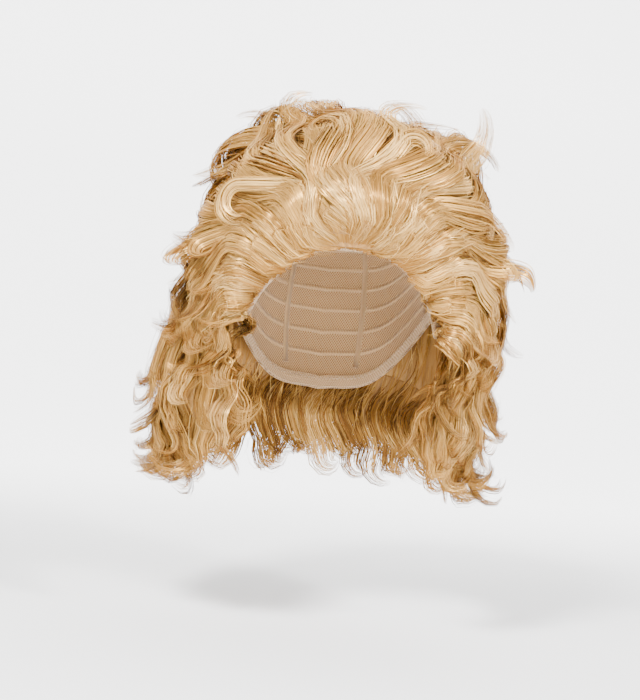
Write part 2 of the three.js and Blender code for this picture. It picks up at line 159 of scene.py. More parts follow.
def curve_value(keys, values, at):
    """Smooth curve through values at keys. values may have a column for each element of at."""
    keys = np.asarray(keys, float)
    values = np.asarray(values, float)
    at = np.asarray(at, float)
    if values.ndim == 1:
        values = np.repeat(values[:, None], at.size, 1)
    before = np.maximum(np.arange(len(keys)) - 1, 0)
    after = np.minimum(np.arange(len(keys)) + 1, len(keys) - 1)
    slopes = (values[after] - values[before]) / (keys[after] - keys[before])[:, None]
    i = np.clip(np.searchsorted(keys, at, side="right") - 1, 0, len(keys) - 2)
    span = keys[i + 1] - keys[i]
    t = np.clip((at - keys[i]) / span, 0, 1)
    column = np.arange(at.size)
    low, high = values[i, column], values[i + 1, column]
    return ((2 * t**3 - 3 * t**2 + 1) * low + (t**3 - 2 * t**2 + t) * span * slopes[i, column]
            + (3 * t**2 - 2 * t**3) * high + (t**3 - t**2) * span * slopes[i + 1, column])


def head_point(angle, polar, offset):
    """Point on the head form at an offset, by degrees from the forehead and polar angle."""
    reach = np.where(polar < math.pi / 2, CROWN_HEIGHT, NAPE_REACH)
    ring = np.sin(polar)
    turn = np.radians(angle)
    return np.stack([
        (HEAD_HALF_WIDTH + offset) * ring * np.sin(turn),
        HEAD_SHIFT - (HEAD_HALF_DEPTH + offset) * ring * np.cos(turn),
        (reach + offset) * np.cos(polar) - CROWN_HEIGHT,
    ], -1)


def head_share(point, offset):
    """How far out points lie: 1 is on the head form grown by an offset."""
    reach = np.where(point[..., 2] > HEAD_CENTRE[2], CROWN_HEIGHT, NAPE_REACH) + offset
    scale = np.stack([np.full_like(reach, HEAD_HALF_WIDTH + offset),
                      np.full_like(reach, HEAD_HALF_DEPTH + offset), reach], -1)
    return np.linalg.norm((point - HEAD_CENTRE) / scale, axis=-1, keepdims=True)


def rim_polar(angle):
    folded = np.abs((np.asarray(angle, float) + 180) % 360 - 180)
    height = CROWN_HEIGHT - curve_value(*zip(*RIM), folded)
    return np.arccos(height / np.where(height > 0, CROWN_HEIGHT, NAPE_REACH))


def hood_points(along, across):
    """Underside of the locks, from the hairline (along 0) to the hem (along 1)."""
    side = np.abs(across)
    turn = ROOT_ANGLE * side**ROOT_FAN
    root = head_point(turn, rim_polar(turn), RIM_STAND_OFF)
    keys = [0.0]
    rows = [root]
    for key, line in HOOD_LINES:
        shares = np.array(line, float)
        mirrored = np.vstack([shares[1] * (-1, 1, 1), shares])
        places = [-ACROSS[1]] + ACROSS
        out, back, down = (curve_value(places, mirrored[:, k], side) for k in range(3))
        rows.append(np.stack([HOOD_HALF_WIDTH * out, HEAD_SHIFT + HOOD_HALF_DEPTH * back,
                              CROWN_PUFF - HOOD_HEIGHT * down], -1))
        keys.append(key)
    rows = np.array(rows)
    point = np.stack([curve_value(keys, rows[:, :, k], along) for k in range(3)], -1)
    point[:, 0] *= np.where(across < 0, -1, 1)
    down = (CROWN_PUFF - point[:, 2]) / HOOD_HEIGHT
    lean = curve_value(*zip(*LEAN), down)
    point[:, 0] += HOOD_LEAN * lean * smooth(*LEAN_SETS_IN, along)
    share = head_share(point, RIM_STAND_OFF)
    return np.where(share < 1, (point - HEAD_CENTRE) / share + HEAD_CENTRE, point)


GRID_ALONG = 241
GRID_ACROSS = 321


def make_hood():
    """Grid of points on the hood with their directions and rates, looked up by every strand."""
    along = np.linspace(0, 1, GRID_ALONG)
    across = np.linspace(-1, 1, GRID_ACROSS)
    u, v = np.meshgrid(along, across, indexing="ij")
    point = hood_points(u.ravel(), v.ravel()).reshape(GRID_ALONG, GRID_ACROSS, 3)
    down = unit(np.gradient(point, along, axis=0))
    slope = np.gradient(point, across, axis=1)
    out = unit(np.cross(slope, down))
    over = np.cross(down, out)
    rate = (slope * over).sum(2, keepdims=True)
    return np.concatenate([point, over, out, rate], 2)


HOOD = make_hood()
WAVE_SETS_IN = (0.05, 0.3)
PUFF_SETS_IN = (0.1, 0.4)


def hair_place(along, across, height):
    """Points in the hair, with the directions over and out there, and the width of the hood."""
    along = np.asarray(along, float)
    across = np.clip(across, -1, 1)
    free = (1 - across**2) * smooth(*WAVE_SETS_IN, along)
    shifted = across + WAVE_SHARE * free * np.sin(2 * np.pi * WAVE_COUNT * along + 2 * across)
    row = np.clip(along, 0, 1) * (GRID_ALONG - 1)
    column = (np.clip(shifted, -1, 1) + 1) / 2 * (GRID_ACROSS - 1)
    r = np.minimum(row.astype(int), GRID_ALONG - 2)
    c = np.minimum(column.astype(int), GRID_ACROSS - 2)
    row_part = (row - r)[..., None]
    column_part = (column - c)[..., None]
    near = HOOD[r, c] * (1 - column_part) + HOOD[r, c + 1] * column_part
    far = HOOD[r + 1, c] * (1 - column_part) + HOOD[r + 1, c + 1] * column_part
    cell = near * (1 - row_part) + far * row_part
    out = cell[..., 6:9]
    puff = PUFF_DEPTH * smooth(*PUFF_SETS_IN, along) * np.sin(2 * np.pi * PUFF_COUNT * along + 3 * across)
    return cell[..., 0:3] + out * (height + puff)[..., None], cell[..., 3:6], out, cell[..., 9]


# Sections of hair: place across the hood, stations from hairline to hem, share of its length over
# which it reaches full depth, and its number of ridges
SECTIONS = [
    # name, left, right, start, end, rise, ridges, kind
    ("front_fan", -0.22, 0.22, 0, 7, 0.2, 3, "front"),
    ("left_wave", -0.52, -0.22, 0, 7, 0.2, 2, "front"),
    ("right_wave", 0.22, 0.52, 0, 7, 0.2, 2, "front"),
    ("left_temple", -0.78, -0.52, 0, 8, 0.2, 2, "temple"),
    ("right_temple", 0.52, 0.78, 0, 8, 0.2, 2, "temple"),
    ("left_face_lock", -1.0, -0.78, 0, 16, 0.45, 2, "face"),
    ("right_face_lock", 0.78, 1.0, 0, 16, 0.45, 2, "face"),
    ("crown_back", -0.22, 0.22, 7, 12, 0.45, 3, "back"),
    ("left_back_wave", -0.52, -0.22, 7, 12, 0.45, 2, "back"),
    ("right_back_wave", 0.22, 0.52, 7, 12, 0.45, 2, "back"),
    ("left_side_wave", -0.78, -0.52, 8, 12, 0.45, 2, "back"),
    ("right_side_wave", 0.52, 0.78, 8, 12, 0.45, 2, "back"),
    ("nape_ends", -0.22, 0.22, 12, 16, 0.45, 3, "ends"),
    ("left_back_ends", -0.52, -0.22, 12, 16, 0.45, 3, "ends"),
    ("right_back_ends", 0.22, 0.52, 12, 16, 0.45, 3, "ends"),
    ("left_side_ends", -0.78, -0.52, 12, 16, 0.45, 3, "ends"),
    ("right_side_ends", 0.52, 0.78, 12, 16, 0.45, 3, "ends"),
]

# Layers of locks in each kind of section, from the innermost to the outermost.
# begin and finish are shares of the section's length, level is a share of its depth,
# sweep is how far the lock drifts away from the middle of the hood,
# tail is in millimetres, turn and plane say how it curls: 0 is outward, 90 away from the middle
LAYERS = {
    # locks, begin, finish, level, sweep, tail, turn, plane, strands
    "front": [
        (6, 0.34, 1.16, 0.62, 0.08, 22, 60, 95, 64),
        (5, 0.00, 1.12, 0.86, 0.18, 22, 70, 95, 106),
        (5, 0.00, 0.58, 1.00, 0.14, 34, 130, 80, 104),
        (8, 0.00, 0.20, 0.55, 0.02, 2, 10, 60, 50),
    ],
    "temple": [
        (5, 0.28, 1.12, 0.60, 0.05, 24, 100, 60, 70),
        (5, 0.00, 0.62, 0.76, 0.14, 24, 70, 25, 100),
        (5, 0.00, 1.14, 0.96, 0.16, 28, 110, 35, 112),
        (8, 0.00, 0.20, 0.55, 0.04, 2, 10, 60, 50),
    ],
    "face": [
        (5, 0.36, 0.92, 0.04, 0.00, 22, 120, 60, 50),
        (5, 0.50, 0.98, 0.60, 0.00, 34, 170, -50, 70),
        (5, 0.26, 0.76, 0.75, 0.00, 34, 130, 70, 80),
        (6, 0.00, 0.50, 0.92, 0.00, 38, 110, 80, 88),
        (8, 0.00, 0.12, 0.70, 0.00, 2, 10, 60, 60),
    ],
    "back": [
        (5, 0.00, 1.00, 0.05, 0.00, 16, 60, 40, 36),
        (5, -0.30, 0.95, 0.60, 0.02, 22, 110, 40, 56),
        (6, -0.22, 1.12, 0.98, 0.02, 26, 120, 50, 92),
    ],
    "ends": [
        (6, 0.00, 0.94, 0.05, 0.00, 22, 120, 60, 52),
        (6, 0.00, 0.94, 0.50, 0.00, 32, 170, 40, 66),
        (6, 0.05, 0.82, 0.95, 0.00, 36, 150, -10, 86),
    ],
}

# Waves along the locks of each kind of section, in millimetres, and steps along a whole section
WAVES = {
    # sideways, its length, outward, its length, steps
    "front": (10.0, 84, 6.2, 66, 24),
    "temple": (10.0, 104, 6.0, 78, 18),
    "face": (7.5, 108, 6.0, 84, 20),
    "back": (8.0, 96, 4.4, 70, 11),
    "ends": (9.0, 84, 4.0, 64, 11),
}

# Single locks that stand out: curls beside the crown, flicks at the sides and loops at the hem
SINGLE_LOCKS = [
    # section, lane, begin, finish, level, sweep, tail, turn, plane, strands
    ("left_wave", -0.44, 0.10, 0.58, 1.00, 0.10, 52, 300, 70, 150),
    ("left_wave", -0.30, 0.00, 0.44, 1.02, 0.16, 37, 190, 85, 140),
    ("right_wave", 0.34, 0.00, 0.44, 1.00, 0.16, 37, 190, 85, 140),
    ("front_fan", 0.04, 0.00, 0.50, 1.02, 0.10, 37, 170, 88, 130),
    ("front_fan", -0.10, 0.00, 0.50, 1.04, 0.12, 37, 180, 88, 130),
    ("left_temple", -0.60, 0.00, 0.50, 1.00, 0.10, 42, 250, 65, 160),
    ("right_temple", 0.58, 0.00, 0.52, 1.05, 0.10, 46, 160, 60, 150),
    ("left_side_ends", -0.74, 0.00, 0.30, 1.00, 0.00, 34, 95, -5, 90),
    ("right_side_ends", 0.74, 0.00, 0.34, 1.00, 0.00, 34, 95, -5, 90),
    ("right_side_ends", 0.70, 0.20, 0.84, 0.90, 0.00, 38, 110, -8, 90),
    ("left_face_lock", -0.885, 0.00, 0.50, 0.95, 0.00, 24, 60, 20, 120),
    ("left_face_lock", -0.945, 0.00, 0.46, 0.80, 0.00, 24, 60, 20, 120),
    ("left_face_lock", -0.99, 0.00, 0.42, 0.35, 0.00, 20, 50, 20, 100),
    ("left_face_lock", -0.975, 0.00, 0.44, 1.15, 0.00, 22, 50, 20, 130),
    ("right_face_lock", 0.885, 0.00, 0.50, 0.95, 0.00, 24, 60, 20, 120),
    ("right_face_lock", 0.945, 0.00, 0.46, 0.80, 0.00, 24, 60, 20, 120),
    ("right_face_lock", 0.99, 0.00, 0.42, 0.35, 0.00, 20, 50, 20, 100),
    ("right_face_lock", 0.975, 0.00, 0.44, 1.15, 0.00, 22, 50, 20, 130),
    ("left_face_lock", -0.84, 0.50, 0.93, 0.90, 0.00, 42, 260, -10, 80),
    ("right_face_lock", 0.86, 0.50, 0.93, 0.80, 0.00, 40, 270, 40, 80),
]

# Locks: how much they vary, how they leave the root and how they end
TAIL_STEPS = 4
LONG_TAIL_STEPS = 10
LONG_TAIL = 36
FEWEST_STEPS = 5
LOCKS_ABREAST = 6
LOCK_HEIGHT = 3.8
LOCK_OVERLAP = 0.95
LOCK_HALF_WIDTHS = (3, 12)
LANE_DRIFT = 0.3
LANE_LIMIT = 0.985
BEGIN_DRIFT = (-0.08, 0.12)
FINISH_DRIFT = (-0.16, 0.08)
LEVEL_DRIFT = (0.74, 1.08)
MIDDLE_REACH = 0.05
PARTING_REACH = 0.1
SWEEP_POWER = 1.2
ROOT_DEPTH = 0.3
ROOT_SINK = 4.4
ROOT_SINK_REACH = 0.052
ROOT_RISE_REACH = 0.045
BURIED_LEVEL = 0.35
BURIED_REACH = 0.35
END_LIFT = 3
END_LIFT_FROM = 0.75
OVERRUN_RIDGE = 0.6
RIDGE_ROUNDNESS = 0.6
HEM_THINNING = 0.4
HEM_FROM = 0.8
FACE_LIFT = 1.1
FACE_LIFT_FADES_ALONG = (0.12, 0.4)
FACE_LIFT_FADES_ACROSS = (0.78, 0.97)
TAIL_DRIFT = (0.7, 1.3)
TAIL_PLANE_DRIFT = 14
FLIPPED_SHARE = 0.2

# Waves: length that they run over, phase across the hood and its spread, drift and where they set in
HOOD_LENGTH = 430
SWAY_PHASE = (4, 0.5)
BOUNCE_PHASE = (2.5, 0.25)
SWAY_DRIFT = (0.75, 1.25)
BOUNCE_DRIFT = (0.75, 1.2)
SWAY_SETS_IN = (0.0, 0.3)
BOUNCE_SETS_IN = (0.02, 0.3)
EDGE_CALM = 0.7
EDGE_REACH = (0.82, 0.98)

# Strands in a lock
STRAND_WIDTH = 0.6
STRAND_WIDTH_DRIFT = (0.7, 1.25)
STRAND_ROLL = 0.7
RIBBON_ROUNDNESS = 0.22
LOOSE_SHARE = 0.14
LOOSE_REACH = 1.5
SPREAD_POWER = 0.5
STRAND_ARC = (-0.1, 1.1)
TWIST = 0.14
FRIZZ = 0.2
FRIZZ_DRIFT = (0.3, 1.5)
FRIZZ_WAVES = (0.8, 2.2)
FRIZZ_RATIO = 0.83
CUT = 0.3
HEM_CUT = 0.16
CUT_POWER = 1.6
LOCK_ROUNDNESS = (0.5, 0.75)
CURL_SPREAD = 0.014
CURL_TIGHTNESS = 0.7
CURL_LOOSE_SHARE = 0.1
FLYAWAYS = 70
FLYAWAY_SPREAD = 1.6
FLYAWAY_FRIZZ = 1.9
FLYAWAY_WIDTHS = (0.2, 0.34)
FLYAWAY_TONES = 3

# Shares along a lock or a strand, each with the share of its size there
LOCK_WIDTH_PROFILE = [(0, 1.0), (0.3, 1.0), (0.7, 0.9), (0.88, 0.6), (1, 0.25)]
LOCK_HEIGHT_PROFILE = [(0, 0.35), (0.2, 1.0), (0.7, 1.0), (0.88, 0.7), (1, 0.35)]
STRAND_PROFILE = [(0, 0.6), (0.06, 1), (0.7, 0.85), (1, 0.12)]

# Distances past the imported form: strands run free up to the first, and are pressed into the second
REACH_FREE = 3
REACH_PRESSED = 9


def envelope(section, along, across):
    """Depth of the hair over the hood at a place in a section."""
    _, left, right, start, end, rise, ridges, _ = section
    share = (along * STATIONS - start) / (end - start)
    root = share_of(ROOT_DEPTH, 1, smooth(0, rise, share))
    ending = 1 - HEM_THINNING * smooth(HEM_FROM, 1, share) * (end == STATIONS)
    lane = np.clip((across - left) / (right - left), 0, 1) * ridges
    ridge = np.abs(np.sin(np.pi * lane)) ** RIDGE_ROUNDNESS
    return root * ending * (BED_DEPTH + RIDGE_HEIGHT * ridge)


def rotate(vectors, axes, turns):
    """Vectors turned about unit axes."""
    c = np.cos(turns)[..., None]
    s = np.sin(turns)[..., None]
    along_axis = (vectors * axes).sum(-1, keepdims=True)
    return vectors * c + np.cross(axes, vectors) * s + axes * along_axis * (1 - c)


def lock_lines(section, layer, lanes, tail_steps, rng):
    """Middle lines of one layer of locks with their frames and half widths: locks by steps."""
    _, left, right, start, end, _, _, kind = section
    _, begin, finish, _, sweep, *_ = layer
    count = len(lanes)
    middle = (left + right) / 2
    mirror = np.sign(middle) if abs(middle) > MIDDLE_REACH else 1
    away = np.where(abs(middle) < MIDDLE_REACH, np.clip(lanes / PARTING_REACH, -1, 1), np.sign(middle))
    begins = begin + (rng.uniform(*BEGIN_DRIFT, count) if begin != 0 else np.zeros(count))
    if start == 0:
        begins = np.maximum(begins, 0)
    finishes = finish + rng.uniform(*FINISH_DRIFT, count)
    if end == STATIONS:
        finishes = np.minimum(finishes, 1.0)
    t = np.linspace(0, 1, max(FEWEST_STEPS, round(WAVES[kind][-1] * (finish - begin))))
    share = begins[:, None] + (finishes - begins)[:, None] * t
    along = np.minimum((start + (end - start) * share) / STATIONS, 1.0)
    across = lanes[:, None] + (sweep * away)[:, None] * t**SWEEP_POWER
    across = np.clip(across, -LANE_LIMIT, LANE_LIMIT)
    height = lock_heights(section, layer, share, along, across, t, rng)
    point, over, out, rate = hair_place(along, across, height)
    steps = np.linalg.norm(np.diff(point, axis=1), axis=2)
    run = np.concatenate([np.zeros((count, 1)), np.cumsum(steps, 1)], 1)
    run = run + (begins * (end - start) / STATIONS * HOOD_LENGTH)[:, None]
    sway, bounce = wave_sizes(kind, run, lanes, across, t, rng)
    point = point + over * (mirror * sway)[..., None]
    point = point - out * bounce[..., None]
    spacing = (right - left) / LOCKS_ABREAST
    half_width = np.clip(LOCK_OVERLAP * np.abs(rate) * spacing, *LOCK_HALF_WIDTHS)
    return add_tails(point, over, half_width, layer, mirror, tail_steps, rng)


def lock_heights(section, layer, share, along, across, t, rng):
    """Heights of the locks' middle lines over the hood."""
    _, left, right, start, end, _, _, kind = section
    begin, level = layer[1], layer[3]
    hangs = end == STATIONS
    depth = envelope(section, along, np.clip(across, left, right))
    if not hangs:
        overrun = np.minimum(depth, BED_DEPTH + RIDGE_HEIGHT * OVERRUN_RIDGE)
        depth = np.where(share > 1, overrun, depth)
    levels = level * rng.uniform(*LEVEL_DRIFT, len(share))[:, None]
    if start == 0 and begin == 0:
        if kind == "face":
            near_root = 1 - smooth(*FACE_LIFT_FADES_ALONG, share)
            off_edge = 1 - smooth(*FACE_LIFT_FADES_ACROSS, np.abs(across))
            levels = levels * (1 + FACE_LIFT * near_root * off_edge)
        sink = ROOT_SINK * (1 - smooth(0, ROOT_SINK_REACH, along))
        height = depth * levels * smooth(0, ROOT_RISE_REACH, along) - sink
    else:
        height = depth * levels * share_of(BURIED_LEVEL, 1, smooth(0, BURIED_REACH, t))
    return height if hangs else height + END_LIFT * smooth(END_LIFT_FROM, 1, t)


def wave_sizes(kind, run, lanes, across, t, rng):
    """How far the waves of the locks carry them away from the middle and inward."""
    count = len(lanes)
    sideways, sideways_length, outward, outward_length, _ = WAVES[kind]
    side = np.abs(lanes)
    swing = (2 * np.pi * run / sideways_length
             + (SWAY_PHASE[0] * side + rng.normal(0, SWAY_PHASE[1], count))[:, None])
    lift = (2 * np.pi * run / outward_length
            + (BOUNCE_PHASE[0] * side + rng.normal(0, BOUNCE_PHASE[1], count))[:, None])
    edge = 1 - EDGE_CALM * smooth(*EDGE_REACH, np.abs(across))
    amount = sideways * rng.uniform(*SWAY_DRIFT, count)[:, None] * smooth(*SWAY_SETS_IN, t) * edge
    bounce = outward * rng.uniform(*BOUNCE_DRIFT, count)[:, None] * smooth(*BOUNCE_SETS_IN, t)
    return amount * np.sin(swing), bounce * np.cos(lift)


def add_tails(point, over, half_width, layer, mirror, tail_steps, rng):
    """Runs each lock on past its end in an arc."""
    count = len(point)
    *_, tail, turn, plane, _ = layer
    heading = unit(point[:, -1] - point[:, -2])
    side = square_to(over[:, -1], heading)
    outward = np.cross(side, heading)
    flip = np.where((rng.uniform(0, 1, count) < FLIPPED_SHARE) & (count > 1), -1, 1)
    planes = np.radians(mirror * flip * plane + rng.normal(0, TAIL_PLANE_DRIFT, count))
    turns = np.radians(turn * rng.uniform(*TAIL_DRIFT, count))
    bend = outward * np.cos(planes)[:, None] + side * np.sin(planes)[:, None]
    axis = unit(np.cross(heading, bend))
    reach = tail * rng.uniform(*TAIL_DRIFT, count)
    points, sides = [point], [over]
    place = point[:, -1]
    for s in range(1, tail_steps + 1):
        angle = turns * s / tail_steps
        place = place + rotate(heading, axis, angle) * (reach / tail_steps)[:, None]
        points.append(place[:, None])
        sides.append(rotate(side, axis, angle)[:, None])
    line = np.concatenate(points, 1)
    tangent = unit(np.gradient(line, axis=1))
    sides = square_to(np.concatenate(sides, 1), tangent)
    narrow = np.repeat(half_width[:, -1:], tail_steps, 1)
    return line, sides, np.cross(sides, tangent), np.concatenate([half_width, narrow], 1)


def strands_of(line, side, outward, half_width, per_lock, rng,
               spread=1.0, frizz=FRIZZ, loose_share=LOOSE_SHARE, cut=CUT):
    """Strands that fill the locks: points, tangents, normals, lock numbers and how raised they lie."""
    count, steps, _ = line.shape
    total = count * per_lock
    lock = np.repeat(np.arange(count), per_lock)
    t = np.linspace(0, 1, steps)
    loose = rng.uniform(0, 1, total) < loose_share
    rho = rng.uniform(0, 1, total) ** SPREAD_POWER * spread * np.where(loose, LOOSE_REACH, 1)
    theta = rng.uniform(*STRAND_ARC, total) * np.pi
    angle = theta[:, None] + rng.normal(0, TWIST, total)[:, None] * t
    sideways = rho[:, None] * np.cos(angle)
    raised = rho[:, None] * np.sin(angle)
    waves = rng.uniform(*FRIZZ_WAVES, (total, 1))
    phase = rng.uniform(0, 2 * np.pi, (total, 1))
    grow = smooth(0, 0.4, t) * (1 + smooth(0.6, 1, t))
    a = sideways * half_width[lock] * np.interp(t, *zip(*LOCK_WIDTH_PROFILE))
    a = a + frizz * rng.uniform(*FRIZZ_DRIFT, (total, 1)) * np.sin(2 * np.pi * waves * t + phase) * grow
    b = raised * LOCK_HEIGHT * np.interp(t, *zip(*LOCK_HEIGHT_PROFILE))
    turned = 2 * np.pi * waves * t * FRIZZ_RATIO + phase
    b = b + frizz * rng.uniform(*FRIZZ_DRIFT, (total, 1)) * np.cos(turned) * grow
    place = line[lock] + side[lock] * a[..., None] + outward[lock] * b[..., None]
    place = resample(place, 1 - cut * rng.uniform(0, 1, total) ** CUT_POWER)
    tangent = unit(np.gradient(place, axis=1))
    around, above = LOCK_ROUNDNESS
    rounded = outward[lock] * (above + raised)[..., None] + side[lock] * (around * sideways)[..., None]
    return place, tangent, square_to(rounded, tangent), lock, raised[:, steps // 2]


def resample(place, cut):
    """Each strand stopped at a share of its length, with as many steps as before."""
    steps = place.shape[1]
    at = np.linspace(0, 1, steps) * cut[:, None] * (steps - 1)
    low = np.minimum(at.astype(int), steps - 2)
    part = (at - low)[..., None]
    rows = np.arange(len(place))[:, None]
    return place[rows, low] * (1 - part) + place[rows, low + 1] * part


def kept_near(place):
    """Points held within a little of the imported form, those farthest out pressed together."""
    low, high = (np.array(corner) / MM for corner in cad_bounds)
    past = np.maximum(place - high - REACH_FREE, 0) - np.maximum(low - REACH_FREE - place, 0)
    return place - past + REACH_PRESSED * np.sign(past) * (1 - np.exp(-np.abs(past) / REACH_PRESSED))


def ribbon_mesh(name, place, tangent, normal, width, tone, rng):
    """One mesh of thin ribbons along strands, with a tone slot for each strand."""
    place = kept_near(place)
    total, steps, _ = place.shape
    roll = rng.uniform(-STRAND_ROLL, STRAND_ROLL, total)[:, None]
    side = unit(np.cross(tangent, normal))
    side = unit(rotate(side, tangent, np.broadcast_to(roll, (total, steps))))
    taper = np.interp(np.linspace(0, 1, steps), *zip(*STRAND_PROFILE))
    half = (width[:, None] / 2 * taper)[..., None]
    corners = np.stack([place - side * half, place + side * half], 2) * MM
    normals = np.stack([unit(normal - side * RIBBON_ROUNDNESS), unit(normal + side * RIBBON_ROUNDNESS)], 2)
    mesh = bpy.data.meshes.new(name)
    mesh.vertices.add(total * steps * 2)
    mesh.vertices.foreach_set("co", corners.reshape(-1).astype(np.float32))
    base = (np.arange(total)[:, None] * steps + np.arange(steps - 1)).reshape(-1) * 2
    quads = np.stack([base, base + 1, base + 3, base + 2], 1)
    mesh.loops.add(quads.size)
    mesh.loops.foreach_set("vertex_index", quads.reshape(-1).astype(np.int32))
    mesh.polygons.add(len(quads))
    mesh.polygons.foreach_set("loop_start", np.arange(0, quads.size, 4, dtype=np.int32))
    mesh.polygons.foreach_set("material_index", np.repeat(tone, steps - 1).astype(np.int32))
    mesh.polygons.foreach_set("use_smooth", np.ones(len(quads), bool))
    mesh.update(calc_edges=True)
    share = mesh.attributes.new("root_to_tip", "FLOAT", "POINT")
    values = np.broadcast_to(np.linspace(0, 1, steps)[None, :, None], (total, steps, 2))
    share.data.foreach_set("value", values.reshape(-1).astype(np.float32))
    flow = mesh.attributes.new("flow", "FLOAT_VECTOR", "POINT")
    both = np.repeat(tangent[:, :, None], 2, 2)
    flow.data.foreach_set("vector", both.reshape(-1).astype(np.float32))
    mesh.normals_split_custom_set_from_vertices(normals.reshape(-1, 3))
    return mesh


def srgb(red, green, blue):
    values = [v / 255 for v in (red, green, blue)]
    return tuple(v / 12.92 if v <= 0.04045 else ((v + 0.055) / 1.055) ** 2.4 for v in values) + (1.0,)


# Colours of the hair, and the share of each tone in outer and inner layers; the inner layers lean to darker
# tones as painted shade
# Darker roots: partly the hair's own root colour at the hairline, partly painted shade where roots lie under
# the layers above
ROOT_COLOUR_AND_SHADE = srgb(130, 80, 28)
ROOT_SHARE = 0.75
ROOT_ENDS = 0.14
GLOSS_COLOUR = srgb(240, 205, 150)
TONES = [
    ("pale", srgb(226, 182, 110)),
    ("light", srgb(201, 153, 81)),
    ("mid", srgb(170, 122, 58)),
    ("golden", srgb(136, 92, 43)),
    ("brown", srgb(96, 65, 32)),
]
OUTER_TONES = [0.26, 0.46, 0.23, 0.045, 0.005]
INNER_SHADED_TONES = [0.2, 0.4, 0.3, 0.09, 0.01]
LOCK_TONE_SHARE = 0.6
# Painted shade: a strand raised less than each of these in its lock drops one tone darker, for the shade in
# the valleys between locks
PAINTED_SHADE_BELOW = (0.2, 0.04)
# Painted shade: the core under the strands is streaked in darker colours than most strands, for the shade
# deep in the hair
CORE_SHADE_DARK = srgb(104, 68, 26)
CORE_SHADE_LIGHT = srgb(196, 144, 72)
CORE_STREAKS = 360


def new_material(name, sockets):
    """Material with values for its shader's sockets, its node tree and its shader."""
    material = bpy.data.materials.new(name)
    material.use_nodes = True
    shader = material.node_tree.nodes["Principled BSDF"]
    for socket, value in sockets.items():
        shader.inputs[socket].default_value = value
    return material, material.node_tree, shader


def add_node(tree, kind, sockets=None, **settings):
    """Node of a kind, with its settings and values for its sockets."""
    node = tree.nodes.new("ShaderNode" + kind)
    for key, value in settings.items():
        setattr(node, key, value)
    for socket, value in (sockets or {}).items():
        node.inputs[socket].default_value = value
    return node


def add_ramp(tree, dark, light, first=0.0, last=1.0):
    """Colour ramp from dark at the first share to light at the last."""
    ramp = add_node(tree, "ValToRGB")
    low, high = ramp.color_ramp.elements
    low.color, low.position = dark, first
    high.color, high.position = light, last
    return ramp


def hair_material(name, colour):
    """Glossy strand: darker at its root, partly its own root colour and partly painted shade, with patches
    of shade and a sheen along its flow.
    """
    material, tree, shader = new_material(name, {
        "Roughness": 0.4, "Metallic": 0.4, "Specular IOR Level": 0.15, "Specular Tint": GLOSS_COLOUR,
        "Anisotropic": 0.75, "Anisotropic Rotation": 0.25})
    share = add_node(tree, "Attribute", attribute_name="root_to_tip")
    root = tuple(share_of(a, b, ROOT_SHARE) for a, b in zip(colour, ROOT_COLOUR_AND_SHADE))
    ramp = add_ramp(tree, root, colour, last=ROOT_ENDS)
    flow = add_node(tree, "Attribute", attribute_name="flow")
    world_flow = add_node(tree, "VectorTransform", vector_type="VECTOR",
                          convert_from="OBJECT", convert_to="WORLD")
    place = add_node(tree, "TexCoord")
    noise = add_node(tree, "TexNoise", {"Scale": 46, "Detail": 3})
    shade = add_node(tree, "MapRange", {"To Min": 0.8, "To Max": 1.18})
    tint = add_node(tree, "Mix", {"Factor": 1.0}, data_type="RGBA", blend_type="MULTIPLY")
    link = tree.links.new
    link(share.outputs["Fac"], ramp.inputs["Fac"])
    link(place.outputs["Object"], noise.inputs["Vector"])
    link(noise.outputs["Fac"], shade.inputs["Value"])
    link(ramp.outputs["Color"], tint.inputs["A"])
    link(shade.outputs["Result"], tint.inputs["B"])
    link(tint.outputs["Result"], shader.inputs["Base Color"])
    link(flow.outputs["Vector"], world_flow.inputs["Vector"])
    link(world_flow.outputs["Vector"], shader.inputs["Tangent"])
    return material


def streak_material(name, dark, light, scale):
    """Hair seen as a mass: streaks across the lanes of a mesh."""
    material, tree, shader = new_material(name, {"Roughness": 0.6})
    lane = add_node(tree, "Attribute", attribute_name="lane")
    noise = add_node(tree, "TexNoise", {"Scale": scale, "Detail": 4}, noise_dimensions="1D")
    ramp = add_ramp(tree, dark, light)
    bump = add_node(tree, "Bump", {"Distance": 0.4 * MM})
    link = tree.links.new
    link(lane.outputs["Fac"], noise.inputs["W"])
    link(noise.outputs["Fac"], ramp.inputs["Fac"])
    link(ramp.outputs["Color"], shader.inputs["Base Color"])
    link(noise.outputs["Fac"], bump.inputs["Height"])
    link(bump.outputs["Normal"], shader.inputs["Normal"])
    return material


HAIR_MATERIALS = [hair_material("hair_" + name, colour) for name, colour in TONES]
CORE = streak_material("hair_core", CORE_SHADE_DARK, CORE_SHADE_LIGHT, CORE_STREAKS)

# Core of a section: shares of its depth, stations left free at its ends, and its mesh
CORE_DEPTH = 0.5
CORE_FLOOR = 0.2
CORE_EDGE = 0.95
CORE_START = 0.3
CORE_SHY = 0.8
CORE_CUT = 1.3
CORE_ROWS_PER_STATION = 3
CORE_COLUMNS_PER_RIDGE = 8
LANE_SPAN = 0.1


